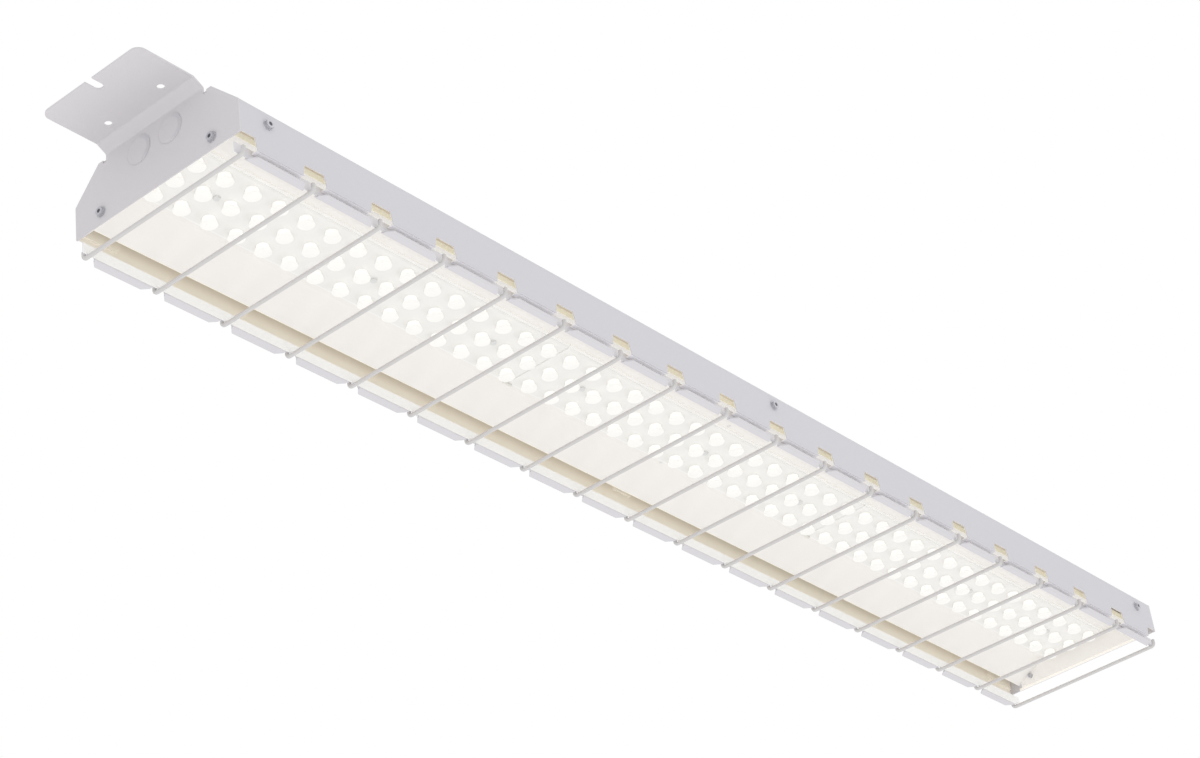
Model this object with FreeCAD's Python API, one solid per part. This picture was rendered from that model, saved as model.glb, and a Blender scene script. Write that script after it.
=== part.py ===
import FreeCAD, Part
import math
import os
from FreeCAD import Vector

os.makedirs("parts", exist_ok=True)

# Linear LED high bay light with a clip-on wire guard, in millimetres.
# X runs along the light, Y across it and Z up. The origin is centred under the guard wires.

# Guard wires
wire_count = 19
wire_pitch = 63.5
wire_diameter = 3.2
wire_upturn = 5.2
wire_end_chamfer = 2.4
wire_side_inset = 0.7
wire_sides = 8

# Guard rails: angle strips with a level flange below and an upright leg inside the lip
rail_sheet = 1.0
rail_leg_height = 9.8
rail_flange_width = 7.2
rail_notch_width = 13.0
rail_tab_corner = 4.5
rail_leg_notch_width = 11.0
snap_tab_count = 6
snap_tab_length = 14.0
snap_tab_reach = 3.4

# Housing channel
housing_width = 161.0
housing_sheet = 0.8
shoulder_bend_radius = 2.5
housing_end_margin = 4.5
lip_gap = 4.9
lip_height = 9.0
lip_return_width = 5.6
side_height = 27.0
shoulder_run = 24.5
shoulder_rise = 24.5
lip_notch_width = 24.0
lip_notch_top_width = 18.0
lip_notch_rise = 1.0

# End plates, with their hanging tabs
plate_sheet = 1.2
tab_width = 96.6
tab_length = 57.2
tab_neck = 3.3
tab_ramp_run = 8.3
tab_ramp_rise = 4.9
tab_corner_radius = 7.0
tab_bend_radius = 1.8
relief_width = 3.2
relief_depth = 2.5
tab_slot_width = 6.6
tab_slot_depth = 12.0
tab_hole_diameter = 5.6
tab_hole_spacing = 52.4
tab_hole_setback = 17.0
ear_length = 38.0
ear_height = 20.0
ear_corner = 5.0
ear_gap = 0.1

# Knockouts
knockout_diameter = 22.2
knockout_boss = 0.5
knockout_sides = 16
knockout_spacing = 31.0
knockout_drop = 11.5

# LED tray and its centre brace
tray_sheet = 0.7
tray_height = 20.5
tray_flat_width = 76.0
tray_width = 138.8
tray_slope_drop = 15.1
tray_hem_height = 5.0
tray_flange_lift = 2.0
tray_flange_inset = 3.0
brace_width = 22.0
brace_sheet = 1.2
brace_flange_height = 10.5

# LED boards and lens arrays
board_count = 3
columns_per_board = 15
led_pitch = 25.4
row_count = 3
row_pitch = 21.5
board_gap = 1.0
board_width = 66.0
board_thickness = 1.6
lens_plate_width = 62.0
lens_plate_thickness = 1.2
lens_width = 15.2
lens_face_width = 9.6
lens_height = 2.4
lens_sides = 8

# Electrical pieces above the tray
driver_length = 330.0
driver_width = 64.0
driver_height = 27.0
driver_corner = 4.0
driver_start = 70.0
driver_ear_length = 14.0
driver_ear_width = 34.0
driver_ear_thickness = 2.0
terminal_length = 22.0
terminal_width = 50.0
terminal_height = 18.0
terminal_step = 7.0
terminal_x = -490.0
terminal_poles = 3
lead_diameter = 6.0
lead_offset = 21.0
lead_overhang = 12.0
connector_size = 9.0
connector_height = 2.4

# Screws
screw_diameter = 4.0
screw_length = 4.0
screw_head_width = 6.0
screw_head_height = 2.6
screw_washer_diameter = 8.0
screw_washer_height = 0.7
side_screw_setback = 26.5
side_screw_rise = 17.5
end_screw_rise = 9.6
end_screw_cover = 2.965
small_screw_diameter = 3.0
small_head_diameter = 5.0
small_head_height = 1.6
board_screw_columns = (1.5, 7.5, 12.5)
brace_screw_spacing = 71.0
hole_clearance = 0.1
small_sides = 8
overcut = 1.0

# Levels and places that follow from the sizes above
half_width = housing_width / 2
wire_radius = wire_diameter / 2
wire_span = (wire_count - 1) * wire_pitch
wire_places = [i * wire_pitch - wire_span / 2 for i in range(wire_count)]
light_length = wire_span + 2 * housing_end_margin
rail_z = wire_radius
rail_leg_y = half_width - rail_flange_width
rail_leg_top = rail_z + rail_leg_height
lip_z = rail_z + rail_sheet + lip_gap
side_z = lip_z + lip_height
shoulder_z = side_z + side_height
top_z = shoulder_z + shoulder_rise
top_half_width = half_width - shoulder_run
inner_half_width = half_width - housing_sheet
fold_z = top_z + tab_neck
tab_z = fold_z + tab_ramp_rise
inner_length = light_length - 2 * plate_sheet
tray_z = side_z + tray_height
tray_top = tray_z + tray_sheet
tray_half = tray_width / 2
tray_flat_half = tray_flat_width / 2
tray_edge_z = tray_z - tray_slope_drop
board_z = tray_z - board_thickness
lens_plate_z = board_z - lens_plate_thickness
side_screw_z = side_z + side_screw_rise
end_screw_z = side_z + end_screw_rise
brace_top = tray_top + brace_sheet
lead_z = brace_top + lead_diameter / 2


def block(x0, x1, y0, y1, z0, z1):
    """Box between two corners."""
    return Part.makeBox(x1 - x0, y1 - y0, z1 - z0, Vector(x0, y0, z0))


def rod(diameter, start, direction, length):
    """Round bar from a start point along a direction."""
    return Part.makeCylinder(diameter / 2, length, start, direction)


def prism(points, direction):
    """Flat outline pushed along a direction."""
    return Part.Face(Part.makePolygon(points + points[:1])).extrude(direction)


def ring_of_points(sides, across_flats, centre):
    """Corners of a level regular polygon, measured across its flats."""
    radius = across_flats / 2 / math.cos(math.pi / sides)
    angles = [2 * math.pi * (i + 0.5) / sides for i in range(sides)]
    return [centre + Vector(radius * math.cos(a), radius * math.sin(a), 0) for a in angles]


def bar(sides, across_flats, start, direction, length):
    """Many-sided bar from a start point along a direction."""
    shape = prism(ring_of_points(sides, across_flats, Vector(0, 0, 0)), Vector(0, 0, length))
    shape.Placement = FreeCAD.Placement(start, FreeCAD.Rotation(Vector(0, 0, 1), direction))
    return shape


def small_bar(diameter, start, direction, length):
    """Bar for the small repeated things, which have few sides."""
    return bar(small_sides, diameter, start, direction, length)


def rounded_path(points, radii):
    """Open path through the points, with a tangent arc of the listed radius, or none, at each inner corner."""
    edges = []
    start = points[0]
    for before, corner, after, radius in zip(points, points[1:], points[2:], radii):
        incoming = (corner - before).normalize()
        outgoing = (after - corner).normalize()
        half_turn = incoming.getAngle(outgoing) / 2
        reach = radius * math.tan(half_turn)
        arc_start = corner - incoming * reach
        edges.append(Part.LineSegment(start, arc_start).toShape())
        start = corner + outgoing * reach
        if radius:
            inward = (outgoing - incoming).normalize()
            middle = corner + inward * (radius / math.cos(half_turn) - radius)
            edges.append(Part.Arc(arc_start, middle, start).toShape())
    edges.append(Part.LineSegment(start, points[-1]).toShape())
    return Part.Wire(edges)


def folded_sheet(points, radii, sheet, direction):
    """Sheet folded along a path and run out along a direction. A negative sheet lies on the path's other side."""
    section = rounded_path(points, radii).makeOffset2D(sheet, 2, True, True, False)
    return section.extrude(direction)


def mirror_y(shape):
    return shape.mirror(Vector(0, 0, 0), Vector(0, 1, 0))


def mirror_x(shape):
    return shape.mirror(Vector(0, 0, 0), Vector(1, 0, 0))


def board_centres():
    """X of the middle of each LED board."""
    board_step = columns_per_board * led_pitch
    return [(i - (board_count - 1) / 2) * board_step for i in range(board_count)]


def column_x(centre, column):
    """X of a lens column, or of a gap between two, on the board with the given centre."""
    return centre + (column - (columns_per_board - 1) / 2) * led_pitch


def board_screw_places():
    return [column_x(centre, column) for centre in board_centres() for column in board_screw_columns]


def side_screw_places():
    """Near one end, in the middle and near the other end."""
    end = light_length / 2 - side_screw_setback
    return [-end, 0.0, end]


def end_screw_places():
    """Y of both end screws, each under the tray's slope with the cover above it."""
    slope_share = (tray_z - end_screw_z - end_screw_cover) / tray_slope_drop
    y = tray_flat_half + slope_share * (tray_half - tray_flat_half)
    return [-y, y]


def brace_screw_places():
    return [-brace_screw_spacing / 2, brace_screw_spacing / 2]


def driver_screw_places():
    return [driver_start - driver_ear_length / 2, driver_start + driver_length + driver_ear_length / 2]


def knockout(centre, outward):
    """Disc that stands proud where a knockout is pressed in a face."""
    return bar(knockout_sides, knockout_diameter, centre, outward, knockout_boss)


def side_screw_hole(x):
    """Cutter for one pair of side screws, right across the light."""
    hole = screw_diameter + 2 * hole_clearance
    return small_bar(hole, Vector(x, -housing_width, side_screw_z), Vector(0, 1, 0), 2 * housing_width)


def end_screw_holes(x, sheet):
    """Cutters for the two end plate screws through a sheet at the left end."""
    hole = screw_diameter + 2 * hole_clearance
    return [small_bar(hole, Vector(x, y, end_screw_z), Vector(1, 0, 0), sheet) for y in end_screw_places()]


def lip_notch(x):
    """Flared notch through both lips, open below, where a guard wire ends."""
    low = rail_z
    high = side_z + lip_notch_rise
    half_low = lip_notch_width / 2
    half_high = lip_notch_top_width / 2
    outline = [
        Vector(x - half_low, -housing_width, low),
        Vector(x + half_low, -housing_width, low),
        Vector(x + half_high, -housing_width, high),
        Vector(x - half_high, -housing_width, high),
    ]
    return prism(outline, Vector(0, 2 * housing_width, 0))


def housing_body():
    """Folded channel: returned lips, upright sides, sloping shoulders and a flat top."""
    start = -inner_length / 2
    return_y = half_width - lip_return_width
    section = [
        Vector(start, -return_y, lip_z),
        Vector(start, -half_width, lip_z),
        Vector(start, -half_width, shoulder_z),
        Vector(start, -top_half_width, top_z),
        Vector(start, top_half_width, top_z),
        Vector(start, half_width, shoulder_z),
        Vector(start, half_width, lip_z),
        Vector(start, return_y, lip_z),
    ]
    bend = shoulder_bend_radius
    channel = folded_sheet(section, [0, bend, bend, bend, bend, 0], housing_sheet, Vector(inner_length, 0, 0))
    cuts = [lip_notch(x) for x in wire_places] + [side_screw_hole(x) for x in side_screw_places()]
    body = channel.cut(Part.makeCompound(cuts))
    return body.fuse(knockout(Vector(0, 0, top_z), Vector(0, 0, 1))).removeSplitter()


def tab_plan():
    """Plan outline of the left tab: round outer corners, an open slot in the outer edge and two holes."""
    face_x = -light_length / 2
    tip_x = face_x - tab_length
    half = tab_width / 2
    low = Vector(0, 0, side_z)
    tall = Vector(0, 0, tab_z)
    blank = Part.makeBox(tab_length + plate_sheet, tab_width, tab_z, Vector(tip_x, -half, side_z))
    corners = [e for e in blank.Edges if e.Length > tab_z - overcut and e.CenterOfMass.x < tip_x + overcut]
    blank = blank.makeFillet(tab_corner_radius, corners)
    slot_radius = tab_slot_width / 2
    slot_end = tip_x + tab_slot_depth - slot_radius
    slot = block(tip_x - overcut, slot_end, -slot_radius, slot_radius, side_z, side_z + tab_z)
    cuts = [slot, rod(tab_slot_width, Vector(slot_end, 0, 0) + low, Vector(0, 0, 1), tall.z)]
    for y in (-tab_hole_spacing / 2, tab_hole_spacing / 2):
        hole_at = Vector(face_x - tab_hole_setback, y, side_z)
        cuts.append(rod(tab_hole_diameter, hole_at, Vector(0, 0, 1), tall.z))
    return blank.cut(Part.makeCompound(cuts))


def hanging_tab():
    """The end plate's neck, ramp and level tab, folded outward over the housing's top."""
    face_x = -light_length / 2
    half = tab_width / 2
    side = [
        Vector(face_x, -half, top_z - plate_sheet),
        Vector(face_x, -half, fold_z),
        Vector(face_x - tab_ramp_run, -half, tab_z),
        Vector(face_x - tab_length, -half, tab_z),
    ]
    strip = folded_sheet(side, [tab_bend_radius, tab_bend_radius], -plate_sheet, Vector(0, tab_width, 0))
    return strip.common(tab_plan())


def ear():
    """Side ear of the left end plate, folded in behind the housing's near side."""
    x0 = -light_length / 2 + plate_sheet / 2
    x1 = x0 + ear_length
    y = -inner_half_width + ear_gap
    z0 = side_z + ear_corner
    z1 = z0 + ear_height
    outline = [
        Vector(x0, y, z0),
        Vector(x1 - ear_corner, y, z0),
        Vector(x1, y, z0 + ear_corner),
        Vector(x1, y, z1 - ear_corner),
        Vector(x1 - ear_corner, y, z1),
        Vector(x0, y, z1),
    ]
    flange = prism(outline, Vector(0, plate_sheet, 0))
    return flange.cut(side_screw_hole(side_screw_places()[0]))


def end_plate():
    """Left end plate: the housing's outline, two ears, two knockouts and the hanging tab, in one folded piece."""
    face_x = -light_length / 2
    outline = [
        Vector(face_x, -half_width, side_z),
        Vector(face_x, half_width, side_z),
        Vector(face_x, half_width, shoulder_z),
        Vector(face_x, top_half_width, top_z),
        Vector(face_x, -top_half_width, top_z),
        Vector(face_x, -half_width, shoulder_z),
    ]
    plate = prism(outline, Vector(plate_sheet, 0, 0))
    plate = plate.fuse([hanging_tab(), ear(), mirror_y(ear())])
    neck = tab_width / 2
    relief = block(face_x, face_x + plate_sheet, neck, neck + relief_width, top_z - relief_depth, top_z)
    cuts = [relief, mirror_y(relief)] + end_screw_holes(face_x, plate_sheet)
    discs = []
    for y in (-knockout_spacing / 2, knockout_spacing / 2):
        discs.append(knockout(Vector(face_x, y, top_z - knockout_drop), Vector(-1, 0, 0)))
    return plate.cut(Part.makeCompound(cuts)).fuse(discs).removeSplitter()


def tray_underside(y):
    """Height of the tray's lower face at a distance from the middle."""
    if abs(y) <= tray_flat_half:
        return tray_z
    return tray_z - tray_slope_drop * (abs(y) - tray_flat_half) / (tray_half - tray_flat_half)


def tray_end_flange():
    """Flange at the left end of the tray, folded down against the end plate."""
    x = -inner_length / 2
    half = tray_half - tray_flange_inset
    low = side_z + tray_flange_lift
    outline = [
        Vector(x, -half, low),
        Vector(x, half, low),
        Vector(x, half, tray_underside(half)),
        Vector(x, tray_flat_half, tray_z),
        Vector(x, tray_flat_half, tray_z + tray_sheet / 2),
        Vector(x, -tray_flat_half, tray_z + tray_sheet / 2),
        Vector(x, -tray_flat_half, tray_z),
        Vector(x, -half, tray_underside(half)),
    ]
    flange = prism(outline, Vector(tray_sheet, 0, 0))
    return flange.cut(Part.makeCompound(end_screw_holes(x, tray_sheet)))


def small_screw_hole(x, y):
    """Cutter for a small screw through everything at the tray's level."""
    return small_bar(small_screw_diameter + 2 * hole_clearance, Vector(x, y, side_z), Vector(0, 0, 1), shoulder_z)


def led_tray():
    """Folded white pan: flat middle, sloping reflector sides with upright hems, and a flange at each end."""
    start = -inner_length / 2
    hem_z = tray_edge_z + tray_hem_height
    section = [
        Vector(start, -tray_half, hem_z),
        Vector(start, -tray_half, tray_edge_z),
        Vector(start, -tray_flat_half, tray_z),
        Vector(start, tray_flat_half, tray_z),
        Vector(start, tray_half, tray_edge_z),
        Vector(start, tray_half, hem_z),
    ]
    pan = folded_sheet(section, [0] * 4, -tray_sheet, Vector(inner_length, 0, 0))
    pan = pan.fuse([tray_end_flange(), mirror_x(tray_end_flange())])
    cuts = [small_screw_hole(x, 0) for x in board_screw_places() + driver_screw_places()]
    cuts += [small_screw_hole(0, y) for y in brace_screw_places()]
    return pan.cut(Part.makeCompound(cuts))


def centre_brace():
    """Strip across the tray with a flange down each side of the housing, held by the middle side screws."""
    half = inner_half_width - ear_gap
    x = -brace_width / 2
    low = brace_top - brace_flange_height
    section = [
        Vector(x, -half, low),
        Vector(x, -half, brace_top),
        Vector(x, half, brace_top),
        Vector(x, half, low),
    ]
    strip = folded_sheet(section, [0, 0], brace_sheet, Vector(brace_width, 0, 0))
    cuts = [side_screw_hole(0)] + [small_screw_hole(0, y) for y in brace_screw_places()]
    return strip.cut(Part.makeCompound(cuts))


def led_board(centre):
    """Bare board of one third of the light's length."""
    half = (columns_per_board * led_pitch - board_gap) / 2
    plate = block(centre - half, centre + half, -board_width / 2, board_width / 2, board_z, tray_z)
    holes = [small_screw_hole(column_x(centre, column), 0) for column in board_screw_columns]
    return plate.cut(Part.makeCompound(holes))


def lens(x, y):
    """One lens: a many-sided frustum that narrows to a flat face below."""
    base = ring_of_points(lens_sides, lens_width, Vector(x, y, lens_plate_z))
    face = ring_of_points(lens_sides, lens_face_width, Vector(x, y, lens_plate_z - lens_height))
    outlines = [base, face]
    for i in range(lens_sides):
        outlines.append([base[i - 1], base[i], face[i], face[i - 1]])
    faces = [Part.Face(Part.makePolygon(outline + outline[:1])) for outline in outlines]
    return Part.Solid(Part.Shell(faces))


def lens_array(centre):
    """Moulded plate of lenses that covers one board."""
    half = (columns_per_board * led_pitch - board_gap) / 2
    half_plate = lens_plate_width / 2
    plate = block(centre - half, centre + half, -half_plate, half_plate, lens_plate_z, board_z)
    holes = [small_screw_hole(column_x(centre, column), 0) for column in board_screw_columns]
    plate = plate.cut(Part.makeCompound(holes))
    lenses = []
    for column in range(columns_per_board):
        for row in range(row_count):
            y = (row - (row_count - 1) / 2) * row_pitch
            lenses.append(lens(column_x(centre, column), y))
    return plate.fuse(lenses)


def board_connectors():
    """Low plug that joins each board to the next, beside the lens arrays."""
    plugs = []
    seam_step = columns_per_board * led_pitch
    y0 = lens_plate_width / 2
    for i in range(board_count - 1):
        seam = (i - (board_count - 2) / 2) * seam_step
        y1 = board_width / 2
        x0 = seam - connector_size / 2
        plugs.append(block(x0, x0 + connector_size, y0, y1, board_z - connector_height, board_z))
    return Part.makeCompound(plugs)


def rail_tab_notch(x):
    """Cutter that leaves rounded flange corners on both sides of a guard wire."""
    outer = half_width + overcut
    inner = rail_leg_y + rail_sheet
    half = rail_notch_width / 2
    corner = rail_tab_corner
    outline = [
        Vector(x - half, inner, 0),
        Vector(x + half, inner, 0),
        Vector(x + half, half_width - corner, 0),
        Vector(x + half + corner, half_width, 0),
        Vector(x + half + corner, outer, 0),
        Vector(x - half - corner, outer, 0),
        Vector(x - half - corner, half_width, 0),
        Vector(x - half, half_width - corner, 0),
    ]
    return prism(outline, Vector(0, 0, lip_z))


def rail_leg_notch(x):
    """Cutter through the rail's fold, as high as the guard wire that seats in it."""
    half = rail_leg_notch_width / 2
    inner = rail_leg_y - overcut
    return block(x - half, x + half, inner, half_width + overcut, 0, wire_diameter)


def snap_tab(x):
    """Springy tab folded from the leg's top, which rests on the lip's inward return."""
    root_y = rail_leg_y + rail_sheet / 2
    tip_y = rail_leg_y + rail_sheet + snap_tab_reach
    seat_z = lip_z + housing_sheet
    outline = [
        Vector(x, root_y, rail_leg_top),
        Vector(x, root_y, rail_leg_top - rail_sheet),
        Vector(x, tip_y, seat_z),
        Vector(x, tip_y, seat_z + rail_sheet),
    ]
    return prism(outline, Vector(snap_tab_length, 0, 0))


def guard_rail():
    """Far rail: notched angle strip as long as the light, with snap tabs over the lip."""
    start = -light_length / 2
    section = [
        Vector(start, half_width, rail_z),
        Vector(start, rail_leg_y, rail_z),
        Vector(start, rail_leg_y, rail_leg_top),
    ]
    strip = folded_sheet(section, [0], rail_sheet, Vector(light_length, 0, 0))
    cuts = [rail_tab_notch(x) for x in wire_places] + [rail_leg_notch(x) for x in wire_places]
    strip = strip.cut(Part.makeCompound(cuts))
    cells_per_tab = (wire_count - 1) // snap_tab_count
    tabs = []
    for x in wire_places[cells_per_tab // 2:-1:cells_per_tab]:
        tabs.append(snap_tab(x + (wire_pitch - snap_tab_length) / 2))
    return strip.fuse(tabs)


def guard_wire(x):
    """Cross wire with both ends bent up, seated in the notches of both rails."""
    end_y = half_width - wire_side_inset - wire_radius
    bend = wire_end_chamfer
    top = wire_radius + wire_upturn
    path = Part.makePolygon([
        Vector(x, -end_y, top),
        Vector(x, -end_y, wire_radius + bend),
        Vector(x, -end_y + bend, wire_radius),
        Vector(x, end_y - bend, wire_radius),
        Vector(x, end_y, wire_radius + bend),
        Vector(x, end_y, top),
    ])
    corners = ring_of_points(wire_sides, wire_diameter, Vector(x, -end_y, top))
    section = Part.makePolygon(corners + corners[:1])
    return path.makePipeShell([section], True, True, 1)


def hex_screw(seat, inward):
    """Hex washer-head screw: seat is the point under the head, inward the way the shank goes."""
    outward = inward * -1
    head = bar(6, screw_head_width, seat, outward, screw_head_height)
    washer = small_bar(screw_washer_diameter, seat, outward, screw_washer_height)
    shank = small_bar(screw_diameter, seat, inward, screw_length)
    return head.fuse([washer, shank]).removeSplitter()


def pan_screw(seat, inward, grip):
    """Small pan-head screw that ends flush with the last sheet it passes."""
    head = small_bar(small_head_diameter, seat, inward * -1, small_head_height)
    return head.fuse(small_bar(small_screw_diameter, seat, inward, grip))


def end_plate_screws():
    """Two screws in each end plate, into the tray's end flanges."""
    screws = []
    for side in (-1, 1):
        for y in end_screw_places():
            seat = Vector(side * light_length / 2, y, end_screw_z)
            screws.append(hex_screw(seat, Vector(-side, 0, 0)))
    return Part.makeCompound(screws)


def side_screws():
    """Three screws in each side, into the end plates' ears and the centre brace."""
    screws = []
    for x in side_screw_places():
        for side in (-1, 1):
            seat = Vector(x, side * half_width, side_screw_z)
            screws.append(hex_screw(seat, Vector(0, -side, 0)))
    return Part.makeCompound(screws)


def board_screws():
    """Screws between the lenses, through array and board into the tray."""
    rise = Vector(0, 0, 1)
    grip = tray_top - lens_plate_z
    return Part.makeCompound([pan_screw(Vector(x, 0, lens_plate_z), rise, grip) for x in board_screw_places()])


def brace_screws():
    """Two screws through the brace into the tray."""
    drop = Vector(0, 0, -1)
    grip = brace_top - tray_z
    return Part.makeCompound([pan_screw(Vector(0, y, brace_top), drop, grip) for y in brace_screw_places()])


def led_driver():
    """Potted driver case with rounded long edges and a mounting ear at each end."""
    x0 = driver_start
    x1 = driver_start + driver_length
    half = driver_width / 2
    case = block(x0, x1, -half, half, tray_top, tray_top + driver_height)
    long_edges = [e for e in case.Edges if e.Length > driver_length - overcut]
    upper_edges = [e for e in long_edges if e.CenterOfMass.z > tray_top + overcut]
    case = case.makeFillet(driver_corner, upper_edges)
    ear_half = driver_ear_width / 2
    ear_top = tray_top + driver_ear_thickness
    base = block(x0 - driver_ear_length, x1 + driver_ear_length, -ear_half, ear_half, tray_top, ear_top)
    holes = [small_screw_hole(x, 0) for x in driver_screw_places()]
    return case.fuse(base).cut(Part.makeCompound(holes)).removeSplitter()


def driver_screws():
    """One screw through each ear of the driver."""
    top = tray_top + driver_ear_thickness
    drop = Vector(0, 0, -1)
    return Part.makeCompound([pan_screw(Vector(x, 0, top), drop, top - tray_z) for x in driver_screw_places()])


def terminal_block():
    """Stepped supply terminal with one wire entry for each pole."""
    x0 = terminal_x
    x1 = terminal_x + terminal_length
    half = terminal_width / 2
    top = tray_top + terminal_height
    body = block(x0, x1, -half, half, tray_top, top)
    step = block(x0, x0 + terminal_step, -half, half, top - terminal_step, top)
    cuts = [step]
    for pole in range(terminal_poles):
        y = (pole + 0.5) * terminal_width / terminal_poles - half
        entry = Vector(x0, y, tray_top + terminal_step)
        cuts.append(small_bar(lead_diameter, entry, Vector(1, 0, 0), terminal_step))
    return body.cut(Part.makeCompound(cuts))


def input_leads():
    """Jacketed leads from the terminal block over the brace to the driver."""
    x0 = terminal_x + terminal_length
    return small_bar(lead_diameter, Vector(x0, lead_offset, lead_z), Vector(1, 0, 0), driver_start - x0)


def output_leads():
    """Lead from the driver's far end, turned down into the tray above the last board."""
    start = Vector(driver_start + driver_length, lead_offset, lead_z)
    turn = start + Vector(lead_overhang, 0, 0)
    path = Part.makePolygon([start, turn, Vector(turn.x, turn.y, tray_top)])
    ring = ring_of_points(small_sides, lead_diameter, Vector(0, 0, 0))
    corners = [start + Vector(0, point.x, point.y) for point in ring]
    section = Part.makePolygon(corners + corners[:1])
    return path.makePipeShell([section], True, True, 1)


parts = {
    "housing_body": housing_body(),
    "end_plate_left": end_plate(),
    "end_plate_right": mirror_x(end_plate()),
    "led_tray": led_tray(),
    "centre_brace": centre_brace(),
    "board_connectors": board_connectors(),
    "guard_rail_far": guard_rail(),
    "guard_rail_near": mirror_y(guard_rail()),
    "end_plate_screws": end_plate_screws(),
    "side_screws": side_screws(),
    "board_screws": board_screws(),
    "brace_screws": brace_screws(),
    "led_driver": led_driver(),
    "driver_screws": driver_screws(),
    "terminal_block": terminal_block(),
    "input_leads": input_leads(),
    "output_leads": output_leads(),
}
for number, centre in enumerate(board_centres(), 1):
    parts[f"led_board_{number}"] = led_board(centre)
    parts[f"lens_array_{number}"] = lens_array(centre)
for number, x in enumerate(wire_places, 1):
    parts[f"guard_wire_{number:02d}"] = guard_wire(x)

for node, shape in parts.items():
    shape.exportStep(f"parts/{node}.step")
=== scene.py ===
from math import cos, pi, radians, sin
import bpy
from mathutils import Matrix, Vector


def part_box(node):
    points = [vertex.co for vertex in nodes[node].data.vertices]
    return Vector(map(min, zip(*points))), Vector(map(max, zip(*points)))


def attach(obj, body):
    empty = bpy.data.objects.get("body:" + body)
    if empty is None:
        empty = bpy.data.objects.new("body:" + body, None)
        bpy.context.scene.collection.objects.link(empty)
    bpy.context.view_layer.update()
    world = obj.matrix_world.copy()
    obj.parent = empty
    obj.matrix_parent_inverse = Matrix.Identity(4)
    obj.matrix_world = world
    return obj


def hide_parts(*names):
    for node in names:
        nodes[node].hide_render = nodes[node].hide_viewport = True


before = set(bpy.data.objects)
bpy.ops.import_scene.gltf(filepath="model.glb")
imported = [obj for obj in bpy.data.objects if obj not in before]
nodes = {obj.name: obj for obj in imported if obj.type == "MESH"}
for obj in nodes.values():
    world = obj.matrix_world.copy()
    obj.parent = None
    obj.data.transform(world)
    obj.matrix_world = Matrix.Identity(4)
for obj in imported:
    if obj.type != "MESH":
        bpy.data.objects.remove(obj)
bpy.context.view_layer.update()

MM = 0.001


# ---------------------------------------------------------------------------
# Camera: a long lens a little below one end of the light, looking up along its lit side.
# The light hangs level, so the camera leans over to fit the whole length across the picture.
camera_data = bpy.data.cameras.new("camera")
camera_data.sensor_width = 36.0
camera_data.lens = 86.14
camera = bpy.data.objects.new("camera", camera_data)
bpy.context.scene.collection.objects.link(camera)
bpy.context.scene.camera = camera

azimuth, elevation, lean = radians(-53.43), radians(-32.13), radians(-7.76)
back = Vector((sin(azimuth) * cos(elevation), -cos(azimuth) * cos(elevation), sin(elevation)))
level = (-back).cross(Vector((0, 0, 1))).normalized()
rise = level.cross(-back)
right = cos(lean) * level + sin(lean) * rise
upward = cos(lean) * rise - sin(lean) * level
camera.matrix_world = Matrix((right, upward, back)).transposed().to_4x4()
camera.location = (-1.6383, -1.1302, -1.1386)


# ---------------------------------------------------------------------------
# Studio: an even white surround, a soft lamp above and two below, and a pale floor far down,
# as deep as a high bay light hangs, so that it can be looked at from underneath.
class Value:
    """A shader socket in an expression: its operators add the Math nodes that work it out."""

    def __init__(self, finish, socket):
        self.finish = finish
        self.socket = socket

    def math(self, operation, *others):
        return self.finish.node("Math", {"operation": operation}, self, *others)

    def __add__(self, other):
        return self.math("ADD", other)

    def __sub__(self, other):
        return self.math("SUBTRACT", other)

    def __mul__(self, other):
        return self.math("MULTIPLY", other)

    def __rsub__(self, other):
        return self.finish.node("Math", {"operation": "SUBTRACT"}, other, self)

    __radd__ = __add__
    __rmul__ = __mul__


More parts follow.
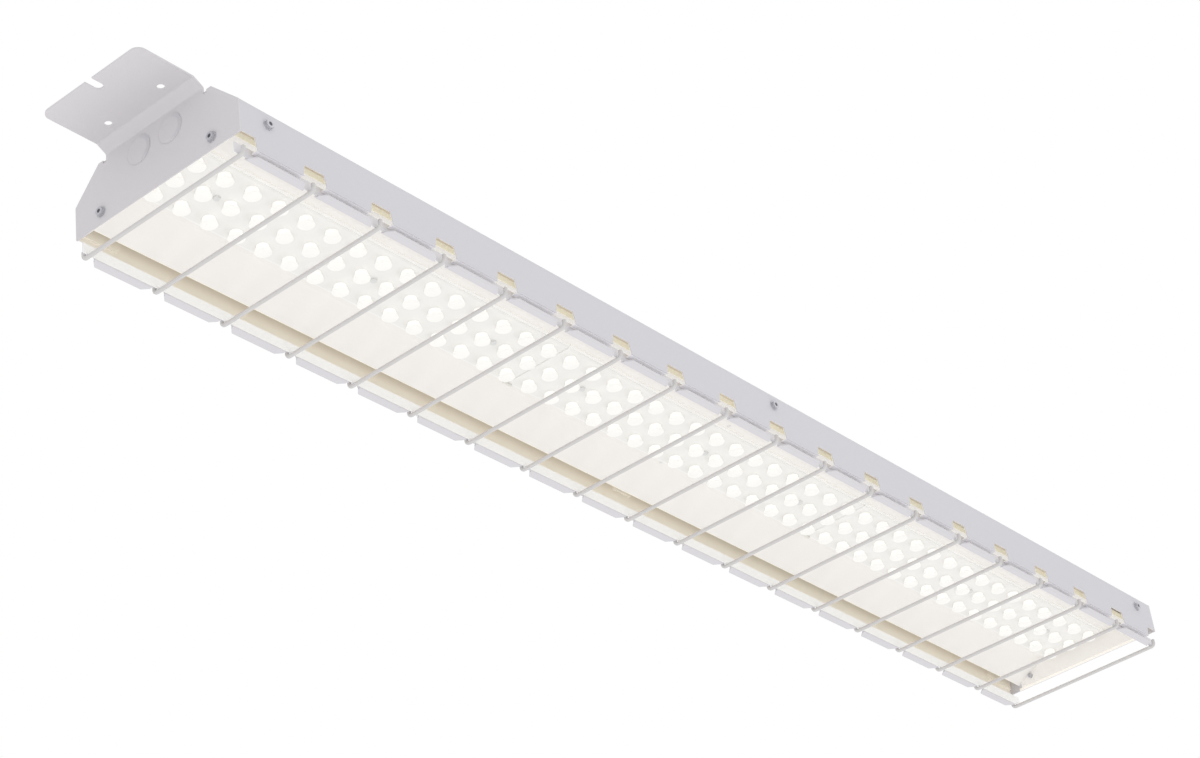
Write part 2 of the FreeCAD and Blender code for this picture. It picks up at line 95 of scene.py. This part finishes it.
class Finish:
    """A node material named for the surface that it finishes."""

    def __init__(self, name, tree=None):
        if tree is None:
            self.material = bpy.data.materials.new(name)
            self.material.use_nodes = True
            tree = self.material.node_tree
            tree.nodes.clear()
        self.tree = tree

    def node(self, kind, settings, *values, out=0, **named):
        """Any node: its settings, then values or links for its sockets in order or by name."""
        made = self.tree.nodes.new("ShaderNode" + kind)
        for key, setting in settings.items():
            setattr(made, key, setting)
        pairs = list(enumerate(values))
        pairs += [(key.replace("_", " "), value) for key, value in named.items()]
        for key, value in pairs:
            if isinstance(value, Value):
                self.tree.links.new(value.socket, made.inputs[key])
            else:
                made.inputs[key].default_value = value
        return Value(self, made.outputs[out]) if made.outputs else made

    def place(self):
        """Where a point is on the light, in metres from its origin."""
        return self.node("TexCoord", {}, out=3)

    def axes(self):
        """The X, Y and Z of a point, in metres."""
        split = self.tree.nodes.new("ShaderNodeSeparateXYZ")
        self.tree.links.new(self.place().socket, split.inputs[0])
        return [Value(self, output) for output in split.outputs]

    def upward(self):
        """How far a face looks up: 1 on top, 0 on a side and -1 underneath."""
        split = self.tree.nodes.new("ShaderNodeSeparateXYZ")
        self.tree.links.new(self.node("TexCoord", {}, out=1).socket, split.inputs[0])
        return Value(self, split.outputs[2])

    def noise(self, size, detail=2.0, stretch=(1, 1, 1)):
        """Noise from 0 to 1 whose features are about size metres across."""
        spread = self.node("Mapping", {}, self.place(), Scale=stretch)
        return self.node("TexNoise", {}, Vector=spread, Scale=1 / size, Detail=detail, Roughness=0.5)

    def step(self, value, low, high):
        """0 below low and 1 above high, smooth between."""
        return self.node("MapRange", {"interpolation_type": "SMOOTHSTEP"}, value, low, high, 0.0, 1.0)

    def blend(self, amount, first, second):
        """One colour turning into another. The colour sockets of a Mix node are its last two inputs."""
        made = self.tree.nodes.new("ShaderNodeMix")
        made.data_type = "RGBA"
        for socket, value in zip((made.inputs[0], made.inputs[6], made.inputs[7]), (amount, first, second)):
            if isinstance(value, Value):
                self.tree.links.new(value.socket, socket)
            else:
                socket.default_value = value
        return Value(self, made.outputs[2])

    def bump(self, height, depth):
        """A normal that follows a height, where 1 is depth metres proud."""
        return self.node("Bump", {}, Strength=1.0, Distance=depth, Height=height)

    def surface(self, **sockets):
        """Ends the material in a Principled shader with these values or links."""
        shader = self.node("BsdfPrincipled", {}, **sockets)
        self.node("OutputMaterial", {}, shader)
        return self.material


def rgb(red, green, blue):
    return (red, green, blue, 1.0)


def wear(node_name, material):
    """Gives a CAD piece its finish."""
    mesh = nodes[node_name].data
    mesh.materials.clear()
    mesh.materials.append(material)


surround_level = 0.85
studio_world = bpy.data.worlds.new("studio")
studio_world.use_nodes = True
studio_world.node_tree.nodes.clear()
studio = Finish("studio", studio_world.node_tree)
seen = studio.node("LightPath", {}, out=0)
glossy = studio.node("LightPath", {}, out=3)
through = studio.node("LightPath", {}, out=6)
direct = studio.node("Math", {"operation": "ADD", "use_clamp": True}, seen + glossy, through)
strength = direct + (1 - direct) * surround_level
studio.node("OutputWorld", {}, studio.node("Background", {}, (1.0, 1.0, 1.0, 1.0), strength))
bpy.context.scene.world = studio_world
bpy.context.scene.view_settings.view_transform = "Standard"

floor_depth = 5.2
floor_half = 40.0
floor_mesh = bpy.data.meshes.new("floor")
floor_signs = ((-1, -1), (1, -1), (1, 1), (-1, 1))
floor_corners = [(x * floor_half, y * floor_half, -floor_depth) for x, y in floor_signs]
floor_mesh.from_pydata(floor_corners, [], [(0, 1, 2, 3)])
floor_piece = bpy.data.objects.new("floor", floor_mesh)
bpy.context.scene.collection.objects.link(floor_piece)
floor_paint = Finish("floor paint")
floor_cloud = floor_paint.noise(1.4)
floor_mesh.materials.append(floor_paint.surface(
    Base_Color=floor_paint.blend(floor_cloud, rgb(0.93, 0.93, 0.93), rgb(0.96, 0.96, 0.96)),
    Roughness=0.9,
))


def soft_lamp(name, place, power):
    """A large round lamp turned to the light."""
    data = bpy.data.lights.new(name, "AREA")
    data.shape = "DISK"
    data.size = 3.0
    data.energy = power
    lamp = bpy.data.objects.new(name, data)
    bpy.context.scene.collection.objects.link(lamp)
    lamp.location = place
    lamp.rotation_mode = "QUATERNION"
    lamp.rotation_quaternion = Vector(place).to_track_quat("Z", "Y")
    lamp.visible_camera = False


soft_lamp("high lamp", (2.6, -3.2, 2.6), 24.0)
soft_lamp("low left lamp", (-2.6, -1.2, -3.4), 31.0)
soft_lamp("low right lamp", (1.6, -0.4, -3.6), 22.5)


# ---------------------------------------------------------------------------
# Housing and end plates: sheet steel, folded and then powder coated white inside and out.
# Baked powder leaves a fine orange peel. Inside, the coat is painted a warm cast and darker higher up, as
# painted light and shade, with a painted glow for stray light.
body_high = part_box("housing_body")[1]
wall_inner = body_high.y - 0.5 * MM
body_end = body_high.x - 0.2 * MM
end_face = 576.0 * MM
lip_level = 8.0 * MM
shoulder_level = 42.5 * MM
rim_top = 18.6 * MM
rim_half = 69 * MM
shade_start = 21 * MM
shade_end = 33 * MM
knockout_radius = 11.1 * MM
knockout_side = 15.5 * MM
knockout_height = 56.5 * MM

unlit = rgb(0.0, 0.0, 0.0)

powder = Finish("white powder coat")
x, y, z = powder.axes()
inside = 1 - powder.step(y.math("ABSOLUTE"), wall_inner - 0.1 * MM, wall_inner + 0.1 * MM)
above_shoulder = powder.step(z, shoulder_level - 0.5 * MM, shoulder_level + 0.5 * MM)
above_lip = powder.step(z, lip_level - 0.1 * MM, lip_level + 0.2 * MM)
facing_down = 1 - powder.step(powder.upward(), -0.3, -0.2)
between_ends = 1 - powder.step(x.math("ABSOLUTE"), body_end - 0.1 * MM, body_end)
cavity = inside * above_lip * between_ends * ((1 - above_shoulder) + above_shoulder * facing_down)
from_end = x.math("ABSOLUTE") - body_high.x
end_inner = powder.step(from_end, -0.1 * MM, -0.02 * MM) * (1 - powder.step(from_end, 0.1 * MM, 0.3 * MM))
end_rim = end_inner * (1 - powder.step(z, rim_top, rim_top + 0.4 * MM))
end_rim = end_rim * (1 - powder.step(y.math("ABSOLUTE"), rim_half, rim_half + 1 * MM))
# Painted shade: depth marks where the cavity is painted darker, fading in from 21 to 33 mm up and lasting to
# the shoulder.
depth = powder.step(z, shade_start, shade_end) * (1 - above_shoulder)
cloud = powder.noise(90 * MM)
peel = powder.noise(1.1 * MM, detail=1.0)
speck = powder.noise(0.35 * MM, detail=1.0)
coat = powder.blend(cloud, rgb(0.632, 0.622, 0.660), rgb(0.662, 0.653, 0.690))
# Painted light: the end plates wear a slightly lighter copy of the same coat, to even out how they are lit.
painted_light_end_coat = powder.blend(cloud, rgb(0.655, 0.636, 0.658), rgb(0.685, 0.666, 0.688))
coat = powder.blend(powder.step(x.math("ABSOLUTE"), body_high.x, body_high.x + 0.02 * MM), coat, painted_light_end_coat)
coat = powder.blend(powder.step(speck, 0.66, 0.74) * 0.25, coat, rgb(0.52, 0.51, 0.54))
# Painted light: the lip's return, inside the wall below lip level, is painted lighter to lift the shade in the
# narrow gap above the rail.
lip_return = inside * (1 - above_lip)
coat = powder.blend(lip_return, coat, rgb(0.93, 0.92, 0.95))
# Painted light and shade: the cavity walls get a painted warm cast for the stray light inside, darker in the
# depth band.
painted_warm_light_and_shade = powder.blend(depth, rgb(0.92, 0.87, 0.78), rgb(0.79, 0.74, 0.66))
coat = powder.blend(cavity, coat, painted_warm_light_and_shade)
# Painted light: the low rim of each end plate's inner face is painted lighter, and glows below, to lift its
# shade.
coat = powder.blend(end_rim, coat, rgb(0.90, 0.88, 0.84))
knock_y = y.math("ABSOLUTE") - knockout_side
knock_z = z - knockout_height
ring = (knock_y * knock_y + knock_z * knock_z).math("SQRT") - knockout_radius
on_end = powder.step(x.math("ABSOLUTE"), end_face - 0.6 * MM, end_face - 0.2 * MM)
groove = (1 - powder.step(ring.math("ABSOLUTE"), 0.3 * MM, 1.0 * MM)) * on_end
# Painted shade: the knockout groove is painted a touch darker.
coat = powder.blend(groove * 0.06, coat, rgb(0.30, 0.29, 0.32))
# Painted shade: a soft dark crescent on one side of each knockout stands in for the shade of its dished disc.
near_side = 1 - powder.step(knock_y * y.math("SIGN"), -9 * MM, 2 * MM)
painted_crescent_shade = (1 - powder.step((ring + 1.6 * MM).math("ABSOLUTE"), 0.4 * MM, 2.4 * MM)) * on_end * near_side
coat = powder.blend(painted_crescent_shade * 0.30, coat, rgb(0.38, 0.39, 0.45))
# Painted glow: the cavity, the end plate rims and the lip's return glow faintly in place of stray light, less
# in the darker band.
painted_glow_share = cavity * (0.5 + above_shoulder * 0.5 - depth * 0.2) + end_rim + lip_return * 0.15
body_coat = powder.surface(
    Base_Color=coat,
    Roughness=0.42 + 0.10 * cloud,
    Normal=powder.bump(peel - groove * 2.0, 0.05 * MM),
    Specular_IOR_Level=0.35,
    Emission_Color=powder.blend(painted_glow_share, unlit, rgb(1.0, 0.925, 0.79)),
    Emission_Strength=0.20,
)
for name in ("housing_body", "end_plate_left", "end_plate_right"):
    wear(name, body_coat)


# ---------------------------------------------------------------------------
# LED tray: thin sheet folded into a shallow reflector and coated in a very white matt paint.
# Its hems, which show through the lip notches, are painted yellowish and given a painted glow for stray light,
# and its ends a painted glow too.
tray_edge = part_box("led_tray")[1].y
tray_end = 574.0 * MM
matt = Finish("reflector paint")
x, y, z = matt.axes()
hem = matt.step(y.math("ABSOLUTE"), tray_edge - 0.5 * MM, tray_edge - 0.1 * MM)
fine = matt.noise(0.8 * MM, detail=1.0)
drift = matt.noise(60 * MM, stretch=(0.4, 1, 1))
white = matt.blend(drift, rgb(0.865, 0.84, 0.81), rgb(0.895, 0.87, 0.84))
# Painted light: the hems are painted yellowish for the warm stray light on them.
white = matt.blend(hem, white, rgb(0.90, 0.88, 0.75))
# Painted glow: the tray's ends and hems glow faintly in place of stray light.
at_end = matt.step(x.math("ABSOLUTE"), tray_end - 0.2 * MM, tray_end + 0.1 * MM)
painted_end_glow = matt.blend(at_end, unlit, rgb(0.45, 0.45, 0.43))
wear("led_tray", matt.surface(
    Base_Color=white,
    Roughness=0.62 + 0.08 * fine,
    Normal=matt.bump(fine, 0.03 * MM),
    Specular_IOR_Level=0.3,
    Emission_Color=matt.blend(hem, painted_end_glow, rgb(1.0, 0.975, 0.86)),
    Emission_Strength=0.19,
))


# ---------------------------------------------------------------------------
# LED boards: aluminium-backed circuit boards under a white solder mask, screwed to the tray.
# The mask lies a little uneven over the copper under it. It has a faint painted glow for the lenses' stray
# light, stronger on its edges to lift the shadow line there.
mask = Finish("white solder mask")
copper = mask.noise(8 * MM, stretch=(0.2, 1, 1))
# Painted glow: the board's edges glow more than its face, to lift the shadow line along them.
board_edge = 1 - mask.step(mask.upward().math("ABSOLUTE"), 0.3, 0.6)
board_mask = mask.surface(
    Base_Color=mask.blend(copper, rgb(0.87, 0.865, 0.845), rgb(0.89, 0.885, 0.865)),
    Roughness=0.38 + 0.08 * copper,
    Emission_Color=mask.blend(board_edge, rgb(0.03, 0.03, 0.028), rgb(0.10, 0.098, 0.094)),
    Emission_Strength=1.0,
    Normal=mask.bump(copper, 0.01 * MM),
)
for name in ("led_board_1", "led_board_2", "led_board_3"):
    wear(name, board_mask)


# ---------------------------------------------------------------------------
# Lens arrays: one clear acrylic moulding over each board, three rows of lenses on a thin plate.
# Each lens flares from its LED to a wide soft-edged face, and glows most beside the LED, partly as painted
# light that lifts the shade on its flanks.
columns = 15
rows = 3
column_pitch = 25.4 * MM
row_pitch = 21.5 * MM
lens_radius = 6.4 * MM
lens_reach = 5.8 * MM
lens_around = 24
plate_thickness = 1.2 * MM
plate_edge = 0.4 * MM
sharpest_smooth_bend = radians(35)
lens_profile = ((0.72, 0.0), (0.70, 0.12), (0.79, 0.40), (0.90, 0.66), (0.98, 0.86), (0.99, 0.92), (0.94, 0.98),
                (0.60, 1.03), (0.30, 1.05))


def lens_ring(centre_x, centre_y, radius, height):
    """Points round a lens at one height."""
    turns = [2 * pi * (i + 0.5) / lens_around for i in range(lens_around)]
    return [(centre_x + radius * cos(turn), centre_y + radius * sin(turn), height) for turn in turns]


def lens_moulding(low, high):
    """The plate with its eased edge, and the lenses standing down from it."""
    face = high.z - plate_thickness
    vertices = []
    faces = []
    eased = ((0.0, high.z), (0.0, face + plate_edge), (plate_edge, face))
    for inset, height in eased:
        near = ((low.x, low.y, 1, 1), (high.x, low.y, -1, 1))
        far = ((high.x, high.y, -1, -1), (low.x, high.y, 1, -1))
        vertices += [(cx + sx * inset, cy + sy * inset, height) for cx, cy, sx, sy in near + far]
    for band in range(2):
        for i in range(4):
            j = (i + 1) % 4
            faces.append((4 * band + j, 4 * band + i, 4 * band + 4 + i, 4 * band + 4 + j))
    faces.append((0, 1, 2, 3))
    faces.append((11, 10, 9, 8))
    middle_x = (low.x + high.x) / 2
    for column in range(columns):
        for row in range(rows):
            centre_x = middle_x + (column - (columns - 1) / 2) * column_pitch
            centre_y = (row - (rows - 1) / 2) * row_pitch
            start = len(vertices)
            for share, fall in lens_profile:
                vertices += lens_ring(centre_x, centre_y, lens_radius * share, face - lens_reach * fall)
            for band in range(len(lens_profile) - 1):
                for i in range(lens_around):
                    j = (i + 1) % lens_around
                    first = start + band * lens_around
                    second = first + lens_around
                    faces.append((first + j, first + i, second + i, second + j))
            last = start + (len(lens_profile) - 1) * lens_around
            faces.append(tuple(last + i for i in range(lens_around))[::-1])
    return vertices, faces


def mesh_piece(name, vertices, faces, material):
    """A new piece that rides on the light, smooth apart from its sharp edges."""
    mesh = bpy.data.meshes.new(name)
    mesh.from_pydata(vertices, [], faces)
    mesh.validate()
    mesh.materials.append(material)
    piece = bpy.data.objects.new(name, mesh)
    bpy.context.scene.collection.objects.link(piece)
    mesh.shade_smooth()
    mesh.set_sharp_from_angle(angle=sharpest_smooth_bend)
    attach(piece, "root")
    return piece


acrylic = Finish("lit acrylic")
x, y, z = acrylic.axes()
plate_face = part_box("lens_array_1")[1].z - plate_thickness
lens_face = plate_face - lens_profile[-1][1] * lens_reach
on_face = 1 - acrylic.step(z, lens_face + 0.4 * MM, lens_face + 1.2 * MM)
at_root = acrylic.step(z, lens_face + 1.0 * MM, plate_face)
on_lens = 1 - acrylic.step(z, plate_face - 0.12 * MM, plate_face - 0.02 * MM)
ripple = acrylic.noise(6 * MM)
# The lenses glow as their LEDs light them; the flanks and root glow more than the face, partly as painted light
# lifting their own shade.
glow = acrylic.blend(at_root, rgb(0.30, 0.297, 0.285), rgb(0.35, 0.347, 0.335))
glow = acrylic.blend(on_face, glow, rgb(0.13, 0.128, 0.118))
# Painted glow: the plate's edges glow faintly, partly as edge-lit acrylic and partly to lift the shadow line
# along them.
edge = 1 - acrylic.step(acrylic.upward().math("ABSOLUTE"), 0.5, 0.8)
plate_glow = acrylic.blend(edge, unlit, rgb(0.07, 0.069, 0.066))
glow = acrylic.blend(on_lens, plate_glow, glow)
lit_acrylic = acrylic.surface(
    Base_Color=acrylic.blend(ripple, rgb(0.850, 0.841, 0.818), rgb(0.870, 0.861, 0.838)),
    Roughness=0.26 + 0.06 * ripple,
    Emission_Color=glow,
    Emission_Strength=1.0,
    Normal=acrylic.bump(ripple, 0.02 * MM),
    IOR=1.49,
)
for number in (1, 2, 3):
    cad_name = f"lens_array_{number}"
    moulding = mesh_piece(f"lens_moulding_{number}", *lens_moulding(*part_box(cad_name)), lit_acrylic)
    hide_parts(cad_name)


# ---------------------------------------------------------------------------
# Guard rails: notched steel angle, powder coated with the body, snapped over each lip.
# Each leg's inner face is painted lighter, with a faint painted glow, for the stray light off the lit
# reflector, and its outer face is painted lighter to lift its shade.
leg_middle = 73.8 * MM
leg_outer = 74.3 * MM
flange_top = 2.2 * MM

guard = Finish("guard powder coat")
rail_cloud = guard.noise(70 * MM)
rail_peel = guard.noise(0.9 * MM, detail=1.0)
x, y, z = guard.axes()
sideways = y.math("ABSOLUTE")
above_flange = guard.step(z, flange_top, flange_top + 0.3 * MM)
# Painted light: masks for the legs' inner and outer faces, which are painted lighter than the rest of the rail.
painted_lit_leg_face = (1 - guard.step(sideways, leg_middle - 0.1 * MM, leg_middle + 0.1 * MM)) * above_flange
painted_light_leg_back = guard.step(sideways, leg_outer - 0.3 * MM, leg_outer - 0.1 * MM) * above_flange
painted_light_leg_back = painted_light_leg_back * (1 - guard.step(sideways, leg_outer + 0.1 * MM, leg_outer + 0.3 * MM))
rail_white = guard.blend(rail_cloud, rgb(0.660, 0.645, 0.672), rgb(0.692, 0.677, 0.704))
rail_white = guard.blend(painted_light_leg_back, rail_white, rgb(0.78, 0.765, 0.79))
guard_coat = guard.surface(
    Base_Color=guard.blend(painted_lit_leg_face, rail_white, rgb(0.93, 0.92, 0.90)),
    Emission_Color=guard.blend(painted_lit_leg_face, unlit, rgb(0.85, 0.95, 1.0)),
    Emission_Strength=0.08,
    Roughness=0.40 + 0.10 * rail_cloud,
    Normal=guard.bump(rail_peel, 0.05 * MM),
    Specular_IOR_Level=0.35,
)
for name in ("guard_rail_near", "guard_rail_far"):
    wear(name, guard_coat)


# ---------------------------------------------------------------------------
# Guard wires: steel rod with both ends bent up, resistance welded under the rails.
# They are powder coated after welding, which rounds their cut ends.
wire_coat = Finish("wire powder coat")
wire_cloud = wire_coat.noise(30 * MM)
wire_peel = wire_coat.noise(0.7 * MM, detail=1.0)
wire_paint = wire_coat.surface(
    Base_Color=wire_coat.blend(wire_cloud, rgb(0.618, 0.603, 0.60), rgb(0.658, 0.643, 0.64)),
    Roughness=0.36 + 0.10 * wire_cloud,
    Normal=wire_coat.bump(wire_peel, 0.04 * MM),
    Specular_IOR_Level=0.4,
)
wire_around = 16
bend_steps = 6
bend_radius = 3.0 * MM
end_round = 0.5 * MM
upturn = 7.8 * MM


def wire_route(low, high):
    """Centre line of one wire in its own YZ plane, and the radius of the coated rod along it."""
    rod = (high.x - low.x) / 2
    end_y = high.y - rod
    bottom = low.z + rod
    half = [(end_y, low.z + upturn, rod - end_round), (end_y, low.z + upturn - end_round, rod)]
    for i in range(bend_steps + 1):
        angle = pi / 2 * i / bend_steps
        across = end_y - bend_radius + bend_radius * cos(angle)
        up = bottom + bend_radius - bend_radius * sin(angle)
        half.append((across, up, rod))
    far = [(-across, up, radius) for across, up, radius in half]
    return far + half[::-1]


def bent_wire(low, high):
    """A round rod swept along its route."""
    middle = (low.x + high.x) / 2
    route = wire_route(low, high)
    vertices = []
    faces = []
    for i, (across, up, radius) in enumerate(route):
        before = route[max(i - 1, 0)]
        after = route[min(i + 1, len(route) - 1)]
        heading = Vector((0, after[0] - before[0], after[1] - before[1])).normalized()
        normal = Vector((0, -heading.z, heading.y))
        for k in range(wire_around):
            angle = 2 * pi * k / wire_around
            offset = Vector((cos(angle), 0, 0)) * radius + normal * (sin(angle) * radius)
            vertices.append((middle + offset.x, across + offset.y, up + offset.z))
    for i in range(len(route) - 1):
        for k in range(wire_around):
            j = (k + 1) % wire_around
            first = i * wire_around
            second = first + wire_around
            faces.append((first + k, first + j, second + j, second + k))
    last = (len(route) - 1) * wire_around
    faces.append(tuple(range(wire_around))[::-1])
    faces.append(tuple(last + k for k in range(wire_around)))
    return vertices, faces


wire_nodes = sorted(name for name in nodes if name.startswith("guard_wire_"))
for name in wire_nodes:
    wire = mesh_piece(name.replace("guard_wire", "bent_wire"), *bent_wire(*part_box(name)), wire_paint)
    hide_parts(name)


# ---------------------------------------------------------------------------
# Screws: plated hex washer heads through the end plates and sides, plated pan heads on the boards.
# The plating clouds over in handling, and each hex head has a pressed hollow in its middle, painted dark as its
# shade.
side_screw_level = 34.0 * MM
side_screw_x = 549.5 * MM
end_screw_level = 26.1 * MM
end_screw_y = 54.5 * MM
hollow_radius = 1.5 * MM
side_screw_reach = 562 * MM
inner_end = 574.6 * MM
inner_side = 74.6 * MM

plating = Finish("clouded plating")
x, y, z = plating.axes()
cloudy = plating.noise(1.5 * MM)
in_side = 1 - plating.step(x.math("ABSOLUTE"), side_screw_reach, side_screw_reach + 1 * MM)
along = (x.math("ABSOLUTE") - side_screw_x).math("ABSOLUTE").math("MINIMUM", x.math("ABSOLUTE")) * in_side
across = (y.math("ABSOLUTE") - end_screw_y) * (1 - in_side)
level = z - side_screw_level * in_side - end_screw_level * (1 - in_side)
off_axis = (along * along + across * across + level * level).math("SQRT")
past_end = plating.step(x.math("ABSOLUTE"), inner_end, inner_end + 0.3 * MM)
past_side = plating.step(y.math("ABSOLUTE"), inner_side, inner_side + 0.3 * MM)
outside = past_end.math("MAXIMUM", past_side)
# Painted shade: the hollow in each hex head is painted nearly black; it also dents the bump.
hollow_with_painted_shade = (1 - plating.step(off_axis, hollow_radius - 0.3 * MM, hollow_radius + 0.3 * MM)) * outside
head_grey = plating.blend(cloudy, rgb(0.42, 0.42, 0.45), rgb(0.60, 0.60, 0.63))
clouded_plating = plating.surface(
    Base_Color=plating.blend(hollow_with_painted_shade, head_grey, rgb(0.06, 0.06, 0.08)),
    Roughness=0.36 + 0.2 * cloudy,
    Metallic=0.4,
    Normal=plating.bump(cloudy - hollow_with_painted_shade * 6.0, 0.03 * MM),
)
for name in ("end_plate_screws", "side_screws"):
    wear(name, clouded_plating)

zinc = Finish("zinc plate")
mottle = zinc.noise(1.2 * MM)
zinc_plate = zinc.surface(
    Base_Color=zinc.blend(mottle, rgb(0.74, 0.74, 0.73), rgb(0.82, 0.82, 0.81)),
    Roughness=0.34 + 0.2 * mottle,
    Metallic=0.5,
    Normal=zinc.bump(mottle, 0.02 * MM),
)
for name in ("board_screws", "brace_screws", "driver_screws"):
    wear(name, zinc_plate)


# ---------------------------------------------------------------------------
# Inside the housing: a galvanised brace, the potted driver in its enamelled case,
# the supply terminal, the board-to-board plugs and the jacketed leads. The brace is painted warm and light,
# with a painted glow, to lift its shade.
spangle = Finish("galvanised sheet")
crystal = spangle.node("TexVoronoi", {}, Vector=spangle.place(), Scale=160.0)
# Painted light: the brace's zinc is tinted warm and light and glows faintly, to lift its shade.
wear("centre_brace", spangle.surface(
    Base_Color=spangle.blend(crystal, rgb(0.70, 0.67, 0.61), rgb(0.78, 0.75, 0.69)),
    Roughness=0.45 + 0.25 * crystal,
    Metallic=0.3,
    Emission_Color=rgb(1.0, 0.92, 0.78),
    Emission_Strength=0.20,
))

enamel = Finish("driver enamel")
orange = enamel.noise(1.5 * MM)
wear("led_driver", enamel.surface(
    Base_Color=enamel.blend(orange, rgb(0.76, 0.76, 0.75), rgb(0.80, 0.80, 0.79)),
    Roughness=0.30 + 0.1 * orange,
    Normal=enamel.bump(orange, 0.05 * MM),
))

nylon = Finish("moulded nylon")
flow = nylon.noise(3 * MM)
moulded_nylon = nylon.surface(
    Base_Color=nylon.blend(flow, rgb(0.74, 0.73, 0.68), rgb(0.79, 0.78, 0.73)),
    Roughness=0.42 + 0.1 * flow,
    Normal=nylon.bump(flow, 0.04 * MM),
)
for name in ("terminal_block", "board_connectors"):
    wear(name, moulded_nylon)

jacket = Finish("lead jacket")
matting = jacket.noise(0.8 * MM)
lead_jacket = jacket.surface(
    Base_Color=jacket.blend(matting, rgb(0.020, 0.020, 0.021), rgb(0.040, 0.040, 0.042)),
    Roughness=0.55 + 0.15 * matting,
    Normal=jacket.bump(matting, 0.04 * MM),
)
for name in ("input_leads", "output_leads"):
    wear(name, lead_jacket)
